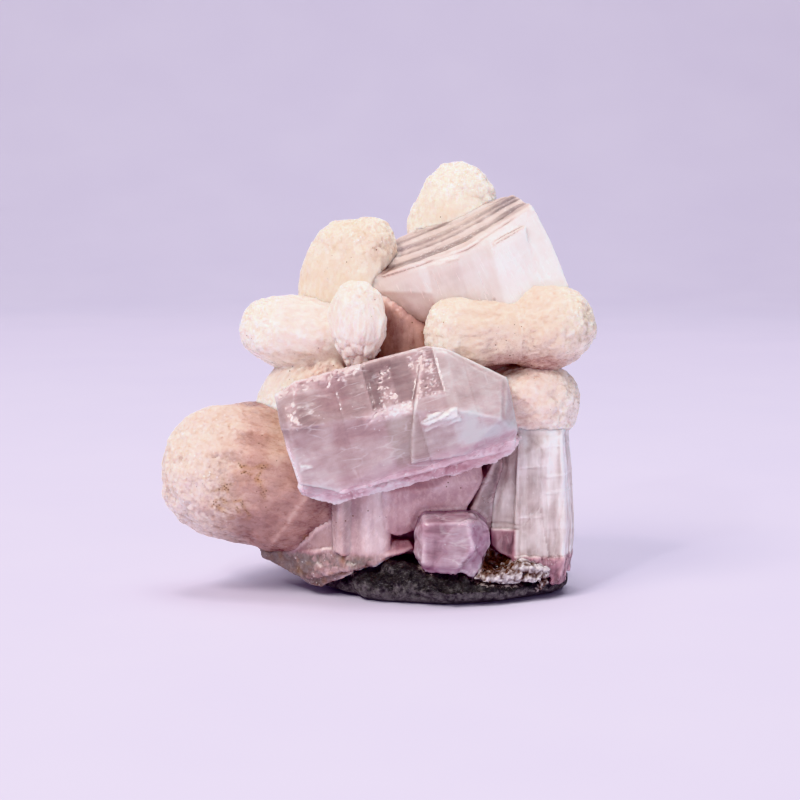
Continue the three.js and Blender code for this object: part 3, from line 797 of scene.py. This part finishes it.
def front_crystal():
    """The big rosy block: flat and glassy, with growth lines along it, steps across it and a
    ragged lip under it."""
    piece = from_solids("rosy_block", ["apophyllite_front"], FINE)
    soften(piece, 1)
    points = points_of(piece)
    along, deep, up = turned_about(points, FRONT_MIDDLE, FRONT_LEAN)
    own = np.stack([along, deep, up], axis=1)
    face = ease(-normals_of(piece)[:, 1], 0.5, 0.9)
    lip = ease(-up + 0.5 * clouds(points, 2.6, 31), 9.0, 10.2)
    rim = np.maximum(lip, ease(-along + 0.4 * clouds(points, 2, 33), 19.6, 20.8) * ease(-up, -3, 0))
    beaded = ease(up, 8.2, 10.2) * ease(-along, 2, 8) * ease(-deep, 2, 5)

    _, _, chance, _ = grains(own * (1, 1, 1.6) + 0.3 * clouds(own, 0.7, 23)[:, None], 0.62, 24)
    crushed = front_chips(along, up) * face
    chips = crushed * ease(chance, 0.7, 0.78)
    ragged = 0.35 * clouds(own * (0.4, 1, 1), 0.8, 34)
    flash = np.zeros(len(points))
    for left, right, bottom, top, soft in FRONT_FLASHES:
        flash += within(along + 3 * ragged, left, right, soft) * within(up + ragged, bottom, top, soft)
    flash *= face * ease(clouds(own * (0.3, 1, 1), 0.8, 35), -0.9, 0.5)
    splinters = np.mod((0.48 * points[:, 0] - 0.88 * points[:, 2]) / SPLINTER + 0.5 * ragged, 1.0)

    rough_ends = clouds(points, 1.8, 21) * 0.35 + facets(points, 1.2, 22) * 0.2
    cracks = 0
    for at, low, high, depth in FRONT_CRACKS:
        cracks += depth * groove(along, at, 0.16) * within(up, low, high, 0.4)
    ledge = 0.14 * within(along, -21, -13, 0.3) * groove(up, 3.3 - 0.12 * (along + 17), 0.2)
    fine = clouds(own * (0.08, 1, 1), 0.7, 26) * 0.03 + clouds(own * (0.12, 1, 1), 2.2, 28) * 0.07
    grown_in = 0.25 * nearness(piece, all_but("apophyllite_front", "stilbite_bud"), 1.2)
    height = 0.1 + 0.06 * clouds(points, 3, 25) + face * fine + (0.6 * lip + 0.5 * beaded) * rough_ends
    height += ledge - cracks + chips * 0.3 * facets(points, 0.8, 29) + 0.7 * flash * SPLINTER * splinters
    raise_relief(piece, height + grown_in + 0.22 * rim * (1 - face))

    ridges = standing_out(piece)
    near = nearness(piece, all_but("apophyllite_front"))
    fog = clouds(own * (0.7, 1, 1), 4, 30) + 0.5 * clouds(own * (0.8, 1, 1.2), 1.6, 32)
    # Painted light: ridges and flashes lighter, grooves darker, painted shade where neighbours meet it.
    tone = 0.7 + 0.14 * fog - 0.04 * near + 0.04 * rim + 0.1 * chips + 0.2 * flash
    tone += (0.22 - 0.14 * rim) * np.maximum(ridges, 0) + 0.1 * np.minimum(ridges, 0)
    tint(piece, along, up, tone, 0.5 + 0.5 * rim + 0.1 * near - flash, FRONT_ZONES)
    paint(piece, "grain", own)
    paint(piece, "rough", 0.16 + 0.16 * rim + 0.08 * beaded - 0.04 * chips - 0.04 * flash)
    frost = 0.5 * rim + 0.4 * beaded + 0.4 * crushed + 0.2 * chips + 0.5 * flash
    paint(piece, "frost", np.clip(frost, 0, 1))
    return piece


def striated_block(name, node, spacing, roll, centre, seed, fine=0.1, coarse=0.16, rounds=1, swell=0.14):
    """A block with fine striations that run up it. Returns the piece and its own places."""
    piece = from_solids(name, [node], spacing)
    soften(piece, rounds)
    points = points_of(piece)
    along, deep, up = turned_about(points, centre, roll)
    own = np.stack([along, deep, up], axis=1)
    drawn = own * (1, 1, 0.08)
    lines = clouds(drawn, 0.8, seed) * fine + clouds(drawn, 2.4, seed + 1) * coarse
    steps = facets(own * (1, 1, 0.25), 4.2, seed + 2) * coarse * 0.6
    grown_in = 0.3 * nearness(piece, all_but(node), 1.2)
    raise_relief(piece, swell + grown_in + lines + steps + 0.05 * clouds(points, 2.2, seed + 3))
    return piece, own


# The pearly block's top: its front edge by along and deep, and its stripes' tones behind that.
TOP_EDGE = [(-16, -2.2), (-11, -4.4), (-6, -5.7), (-1, -6.1), (4, -5.6), (9, -4.1), (13, -2.4), (17.5, -0.4)]
TOP_STRIPES = [(-1, 0.44), (2.6, 0.3), (3.4, 0.56), (4.6, 0.54), (5.2, 0.14), (6.2, 0.5), (7, 0.3), (9, 0.5)]


def upper_crystal():
    """The pearly block. Its striated top shows grey, and its front steps from cream to white."""
    lean = 25.3
    middle = (16.4, -4, 56.3)
    piece, own = striated_block("pearly_block", "apophyllite_upper", FINE, lean, middle, 31, 0.03, 0.06, 4)
    along, deep, up = own.T
    turn = math.radians(lean)
    facing = normals_of(piece) @ (-math.sin(turn), -0.2, math.cos(turn))
    top = ease(facing, 0.55, 0.75)
    behind = deep - np.interp(along, *np.array(TOP_EDGE).T)
    drawn = np.stack([0.04 * along, behind, 0.3 * up], axis=1)
    flutes = clouds(drawn, 0.8, 36) * 0.16 + clouds(drawn, 2, 37) * 0.16
    raise_relief(piece, top * flutes)
    plates = np.maximum(ease(-normals_of(piece)[:, 1], 0.4, 0.8), ease(5.8 - up, 0, 0.8))
    plates *= within(up, -8, 8.6, 0.8) * within(along, -14, 13.5, 1.5) * ease(-deep, 0, 2)
    points = points_of(piece)
    set_points(piece, points + plates[:, None] * (relaxed(piece, 70) - points))
    ridges = standing_out(piece)
    stray = 0.2 * clouds(own * (0.1, 1, 1), 2, 38)
    band = np.interp(behind + stray, *np.array(TOP_STRIPES).T) + 0.25 * clouds(drawn, 1.2, 39)
    # Painted light: ridges lighter and grooves darker.
    band += 0.2 * ridges - 0.14 * ease(along, 9, 12) - 0.16 * ease(-along, 8, 12)
    front = 0.84 + 0.1 * ridges
    x, z = points_of(piece)[:, 0], points_of(piece)[:, 2]
    near = nearness(piece, all_but("apophyllite_upper"))
    below = z < 59.4 + 0.47 * x
    slanted = x + 0.24 * (z - 56)
    zones = [
        (10.4, 16.6, 48, 62, 0.3, -0.11, 0.16),
        (23, 40, 48, 70, 0.4, 0.06, 0.0),
        (16.6, 23, 48, 66, 0.3, -0.05, 0.05),
        (-4, 10.4, 46, 56, 0.4, -0.22, 0.55),
        (-4, 9, 56, 60, 0.8, -0.06, 0.35),
        (2, 9.4, 46, 53, 1.8, -0.16, 0.1),
    ]
    # Painted shade: the front is darker where it meets its neighbours.
    tone = top * band + (1 - top) * front - 0.08 * near * (1 - top)
    tint(piece, slanted, np.where(below, z, 99), tone, 0.06 + 0.1 * top, zones)
    paint(piece, "grain", np.where(top[:, None] > 0.5, own, own[:, ::-1]))
    paint(piece, "rough", 0.24 + 0.1 * top)
    paint(piece, "frost", 0.3 * top)
    return piece


# Steps across the column: height, slope, and from and up to where.
COLUMN_STEPS = [
    (15.4, 0.06, 26, 31),
    (19.5, 0.1, 31, 38),
    (22.5, 0.08, 31, 38),
    (24.6, 0, 26, 31),
    (28, 0.1, 31, 38),
]


def column_crystal():
    """The white upright block with a rosy foot and cracks across it."""
    piece, own = striated_block("white_column", "apophyllite_column", FINE, 0, (31, -9, 18), 41, 0.05, 0.09)
    points = points_of(piece)
    x, y, z = points.T
    wavy = z + 0.15 * clouds(points, 2, 47)
    cracks = ease(-x, -26.5, -25.5) * (groove(wavy, 13.1, 0.2) + 0.6 * groove(wavy, 14, 0.14))
    for at, tilt, left, right in COLUMN_STEPS:
        cracks -= 0.3 * groove(wavy - tilt * (x - 30), at, 0.15) * within(x, left, right, 0.3)
    cracks += 0.2 * groove(x + 0.1 * clouds(points, 3, 53), 26.3, 0.14)
    cracks -= 0.2 * groove(x, 31.2 + 0.02 * z, 0.12)
    right = ease(x, 32, 34.5) * clouds(points * (1, 1, 0.1), 0.9, 55)
    foot = ease(-z, -8.6, -7.6)
    raise_relief(piece, -0.3 * cracks + 0.14 * right + foot * facets(points, 2.2, 48) * 0.1)
    ridges = standing_out(piece)
    near = nearness(piece, all_but("apophyllite_column"))
    stripes = clouds(points * (1, 1, 0.12), 0.7, 50)
    blocks = clouds(np.floor(points / (2.1, 4, 3.1) + 0.1 * stripes[:, None]) + 0.5, 1.7, 54)
    haze = clouds(points * (1, 1, 0.7), 2.2, 52) + 0.5 * clouds(points, 0.9, 56)
    # Painted light: ridges and streaks down the right edge lighter, grooves darker, painted shade by
    # neighbours.
    tone = 0.66 + 0.2 * ridges - 0.06 * near + 0.08 * blocks + 0.12 * haze + 0.14 * right
    tone += 0.08 * stripes + 0.1 * np.maximum(stripes - 0.3, 0)
    zones = [
        (20, 26.3, 13, 34, 0.3, -0.1, 0.0),
        (25, 38, 8, 13, 0.8, 0.04, 0),
        (31.3, 36, 13, 31, 0.3, 0.1, 0),
        (26.3, 40, 27.5, 36, 1.5, 0.1, -0.2),
        (19, 40, 0, 7.8, 0.4, -0.36, 0.8),
        (19, 25.5, 7.5, 12.9, 0.3, -0.36, 0.8),
    ]
    tint(piece, x, z, tone, 0.08 + 0.2 * near + 0.06 * haze, zones)
    paint(piece, "grain", own[:, ::-1])
    paint(piece, "rough", 0.14 + 0.15 * foot + 0.08 * ease(haze, 0, 0.8))
    paint(piece, "frost", 0.3 * foot)
    return piece


def small_crystal(name, node, centre, roll, seed, tone, blush, zones=(), spacing=MEDIUM):
    """A small foggy block of apophyllite."""
    piece, own = striated_block(name, node, spacing, roll, centre, seed, 0.03, 0.05)
    points = points_of(piece)
    low = ease(-own[:, 2], 0, 3.5)
    facing = ease(-normals_of(piece)[:, 1], 0.5, 0.9)
    ruled = clouds(own * (0.1, 1, 1), 0.9, seed + 6) * 0.05
    broken = (0.3 + 0.7 * low) * (1 - 0.7 * facing)
    raise_relief(piece, ruled + broken * facets(points, 4.5, seed + 8) * 0.4)
    ridges = standing_out(piece)
    near = nearness(piece, all_but(node))
    fog = 0.12 * clouds(points, 2.4, seed + 7) + 0.1 * clouds(points, 1, seed + 9)
    # Painted light: ridges lighter, grooves darker, and painted shade, darker and pinker, by the neighbours.
    tone = tone + 0.1 * ridges - 0.08 * near + fog
    tint(piece, points[:, 0], points[:, 2], tone, blush + 0.3 * near, zones)
    paint(piece, "grain", own)
    paint(piece, "rough", 0.18 + 0.2 * ease(clouds(points, 3, seed + 5), 0.3, 0.8))
    # Frosted ridges, where painted glints gather too.
    paint(piece, "frost", 0.3 * np.maximum(ridges, 0))
    return piece


# The base under the front crystal

# Zones (see tint) by x and z.
BASE_ZONES = [
    (-8, -4.6, 9, 20, 0.4, 0.0, -0.9),
    (-4.4, 2, 8.5, 22, 1.4, 0.12, -0.5),
    (-1, 20, 14, 28, 1.2, 0.06, 0.0),
    (3, 12, 4, 13.6, 1, -0.16, 0.2),
    (-24, -12, 0, 9, 1.5, -0.2, 0.4),
    (-24, -8, 8.4, 18, 0.8, -0.08, -0.45),
]

# The skirt's red-brown edge, by x and z.
IRON_EDGE = [(-22, 8.2), (-14.5, 2.3), (-11, 0.4)]


def base_blades():
    """Rosy stilbite in broad glassy blades, with a granular skirt on the basalt."""
    node = "stilbite_base"
    piece = grow_stilbite(node, FINE, swell=0.25, rounds=2, relief=0.3, sugar=0.0, seed=70)
    points = points_of(piece)
    x, _, z = points.T
    skirt = ease(-z + 0.6 * clouds(points, 3, 77), -9.2, -7.8)
    drawn = points * (1, 1, 0.1)
    flutes = clouds(drawn, 1.5, 83) * 0.16 + clouds(drawn, 0.7, 84) * 0.06
    blades = (1 - skirt) * within(x, -8.5, 4, 0.6)
    lumps = clouds(points, 2.6, 75) * 0.4 + facets(points, 1.3, 76) * 0.1
    raise_relief(piece, blades * flutes + skirt * lumps)
    near = nearness(piece, all_but(node))
    on_stone = nearness(piece, ["basalt_matrix"], 1.7) * ease(clouds(points, 1.2, 80), -0.7, 0)
    on_stone *= ease(x, -14, -11)
    ridges = standing_out(piece)
    sheen = clouds(points @ np.array([[0.7, 0, 0.2], [0, 1, 0], [0.35, 0, 1]]), 4, 78)
    grit = clouds(points, 2.3, 81) * 0.5 + clouds(points, 0.9, 82) * 0.4
    # Painted light: ridges lighter, grooves darker, and painted shade, darker and pinker, by the neighbours.
    tone = 0.46 + 0.12 * sheen + (0.2 - 0.08 * blades) * ridges + 0.08 * blades * clouds(drawn, 1.1, 85)
    tone += 0.5 * on_stone - 0.14 * near * (1 - skirt) - skirt * (0.34 - 0.22 * grit)
    wandering = points[:, [0, 2]] + 0.5 * clouds(points, 1.5, 86)[:, None]
    iron = groove(off_line(wandering, IRON_EDGE), 0, 1.4)
    tone -= 0.5 * iron
    tint(piece, x, z, tone, 0.6 + 0.2 * near + 0.1 * skirt + iron - 0.7 * on_stone, BASE_ZONES)
    repaint(piece, "crown", 0.4 * skirt)
    paint(piece, "rust", 0.5 * skirt * ease(clouds(points, 1.6, 79), 0.1, 0.7) + 0.3 * iron)
    return piece


# Stone and crust

def basalt():
    """Dark broken stone."""
    piece = from_solids("basalt_stone", ["basalt_matrix"], COARSE)
    soften(piece, 4)
    points = points_of(piece)
    rested = ease(points[:, 2], 0.3, 1.6)
    relief = clouds(points, 7, 51) * 0.7 + clouds(points, 3, 52) * 0.4 + clouds(points, 1.3, 53) * 0.22
    chips = facets(points, 5.5, 54) * 0.5 + facets(points, 1.8, 55) * 0.3
    raise_relief(piece, rested * (relief + chips))
    # Painted light: faces that turn sideways or down are painted lighter.
    paint(piece, "tone", 0.2 * ease(0.3 - normals_of(piece)[:, 2], 0, 0.8))
    crumbly = ["stilbite_base", "druse_crust", "apophyllite_foot"]
    paint(piece, "crumbs", 0.75 * nearness(piece, crumbly, 1.8))
    return piece


def white_crust():
    """Rounded knobs, 1 to 2 mm across, of tiny crystals."""
    piece = from_solids("white_crust", ["druse_crust"], FINE)
    points = points_of(piece)
    heart, _, _, _ = grains(points, 1.7, 61)
    small, _, _, _ = grains(points, 0.7, 66)
    rim = ease(points[:, 2], 3.2, 5)
    knobs = np.sqrt(np.clip(0.75 - heart**2, 0, 1)) * 0.7
    sharp = 0.16 * facets(points, 1.1, 67)
    raise_relief(piece, (knobs - 0.25) * (0.4 + 0.6 * rim) + (0.5 - small) * 0.3 + sharp - 0.25)
    grooves = -standing_out(piece, 10, 0.2)
    patches = ease(clouds(points, 3.4, 69), -0.2, 0.6)
    cavity = within(points[:, 0], 18.5, 26, 1) * ease(points[:, 2], 4.6, 6.4)
    stain_and_shade = 0.36 + 0.4 * grooves + 0.3 * patches + 0.3 * cavity + 0.22 * clouds(points, 1.1, 68)
    paint(piece, "stain_and_shade", np.clip(stain_and_shade, 0, 1))
    return piece


# The pieces, dressed

CREAM = stilbite("stilbite_cream")
BLADES = stilbite("stilbite_blades", BLADE_GREY, BLADE_LILAC, (0.14, 0.34), 0.8)
ROSE = apophyllite("apophyllite_rose", APOPHYLLITE_ROSE, 0.45, "#ecd2d8", 18)
LILAC = apophyllite("apophyllite_lilac", APOPHYLLITE_LILAC, 0.45, "#ead0dc", 18, 0.55, 0.26, 0.14)
PEARL = apophyllite("apophyllite_pearl", APOPHYLLITE_WARM, 0.2, "#f2ecee", 0, 0.24, 0.1, 0.05)
WHITE = apophyllite("apophyllite_white", APOPHYLLITE_ROSE, 0.2, "#f2ecee", 0, 0.34, 0.24, 0.1)

CREAM_SHEAVES = (
    "stilbite_left",
    "stilbite_upper_left",
    "stilbite_crest",
    "stilbite_bow",
    "stilbite_ball",
    "stilbite_back_left",
    "stilbite_back_top",
)
for number, node in enumerate(CREAM_SHEAVES):
    sheaf = grow_stilbite(node, MEDIUM if node.startswith("stilbite_back") else FINE, seed=10 * number + 3)
    tint_stilbite(sheaf, node, *SHEAF_TINTS[node])
    finish_piece(sheaf, CREAM)

bud = grow_stilbite("stilbite_bud", FINE, sugar=0.8, seed=5)
jagged = ease(50 - points_of(bud)[:, 2], 0, 5)
raise_relief(bud, jagged * facets(points_of(bud), 2.1, 57) * 0.35)
tint_stilbite(bud, "stilbite_bud", *SHEAF_TINTS["stilbite_bud"])
finish_piece(bud, CREAM)

fan = grow_stilbite("stilbite_fan", FINE, seed=1)
tint_stilbite(fan, "stilbite_fan", *SHEAF_TINTS["stilbite_fan"])
cut_fan(fan)
repaint(fan, "rust", values_of(fan, "rust") + rusty_cracks(fan))
finish_piece(fan, CREAM)

heart = grow_stilbite("stilbite_heart", COARSE, swell=0.5, rounds=8, relief=0.6, sugar=0, seed=6)
soften(heart, 5)
tint_stilbite(heart, "stilbite_heart", *SHEAF_TINTS["stilbite_heart"])
finish_piece(heart, CREAM)
finish_piece(base_blades(), BLADES)

finish_piece(front_crystal(), ROSE)
finish_piece(upper_crystal(), PEARL)
finish_piece(column_crystal(), WHITE)
foot = small_crystal(
    "foot_crystal", "apophyllite_foot", (13.2, -16, 10), -4, 81, 0.62, 0.7,
    [(0, 25, 2, 7, 0.5, 0.02, 0.45), (17, 25, 5, 15, 0.6, 0.08, 0.4), (8, 17, 12.5, 20, 1, -0.04, 0.0)],
)
finish_piece(foot, LILAC)
wedge = small_crystal("dark_wedge", "apophyllite_wedge", (20.3, -12, 18), 12, 91, 0.5, 0.3)
finish_piece(wedge, ROSE)
back = small_crystal("back_block", "apophyllite_back", (7.5, 20, 26), -8, 101, 0.62, 0.5)
finish_piece(back, ROSE)
finish_piece(basalt(), basalt_stone())
finish_piece(white_crust(), druse_skin())


# Studio

def sweep():
    """A pale floor that curves up into the backdrop."""
    profile = [(-1.2, 0.0), (0.5, 0.0)]
    bend = np.linspace(0.1, math.pi / 2, 12)
    profile += [(0.5 + 0.4 * math.sin(a), 0.4 - 0.4 * math.cos(a)) for a in bend]
    profile += [(0.9, 1.6)]
    corners = [(x, y, z) for y, z in profile for x in (-1.6, 1.6)]
    faces = [(2 * i, 2 * i + 1, 2 * i + 3, 2 * i + 2) for i in range(len(profile) - 1)]
    mesh = bpy.data.meshes.new("floor")
    mesh.from_pydata(corners, [], faces)
    mesh.shade_smooth()
    floor = bpy.data.objects.new("floor", mesh)
    bpy.context.scene.collection.objects.link(floor)
    material, tree, out, place = new_material("paper")
    fleck = add(tree, "TexNoise", {"Vector": place, "Scale": 1 / 40, "Detail": 2.0})
    colour = add(tree, "ValToRGB", {"Fac": fleck}, [(0.3, "#cdc6dc"), (0.7, "#d0c9de")])
    surface = add(tree, "BsdfPrincipled", {"Base Color": colour, "Roughness": 0.8})
    tree.links.new(surface.outputs["BSDF"], out.inputs["Surface"])
    mesh.materials.append(material)


def softbox(name, place, size, power, colour="#ffffff"):
    """A square soft light that faces the specimen's middle."""
    lamp = bpy.data.lights.new(name, "AREA")
    lamp.shape = "RECTANGLE"
    lamp.size, lamp.size_y = size
    lamp.energy = power
    lamp.color = linear(colour)[:3]
    holder = bpy.data.objects.new(name, lamp)
    holder.location = place
    holder.rotation_euler = (Vector((0, 0, 0.036)) - Vector(place)).to_track_quat("-Z", "Y").to_euler()
    bpy.context.scene.collection.objects.link(holder)


def camera():
    """At the photo's height: 8 degrees above level, half a metre away, with a long lens."""
    target = Vector((0.0044, -0.001, 0.0348))
    rise = math.radians(8)
    distance = 0.5
    lens = bpy.data.cameras.new("camera")
    lens.lens = 120
    lens.sensor_width = 36
    holder = bpy.data.objects.new("camera", lens)
    holder.location = target + distance * Vector((0, -math.cos(rise), math.sin(rise)))
    holder.rotation_euler = (math.pi / 2 - rise, 0, 0)
    bpy.context.scene.collection.objects.link(holder)
    bpy.context.scene.camera = holder


sweep()
softbox("key", (-0.42, -0.4, 0.7), (0.36, 0.36), 6.0, "#fff8f0")
softbox("fill", (0.45, -0.75, 0.14), (0.5, 0.3), 1.9, "#f6f3ff")
softbox("overhead", (0.05, 0.1, 0.8), (0.6, 0.5), 5.5)
softbox("sparkle", (-0.3, -0.6, 0.5), (0.05, 0.05), 1.3)
world = bpy.data.worlds.new("room")
world.use_nodes = True
world.node_tree.nodes["Background"].inputs["Color"].default_value = linear("#ece6f2")
world.node_tree.nodes["Background"].inputs["Strength"].default_value = 0.34
bpy.context.scene.world = world
bpy.context.scene.view_settings.view_transform = "Khronos PBR Neutral"
camera()
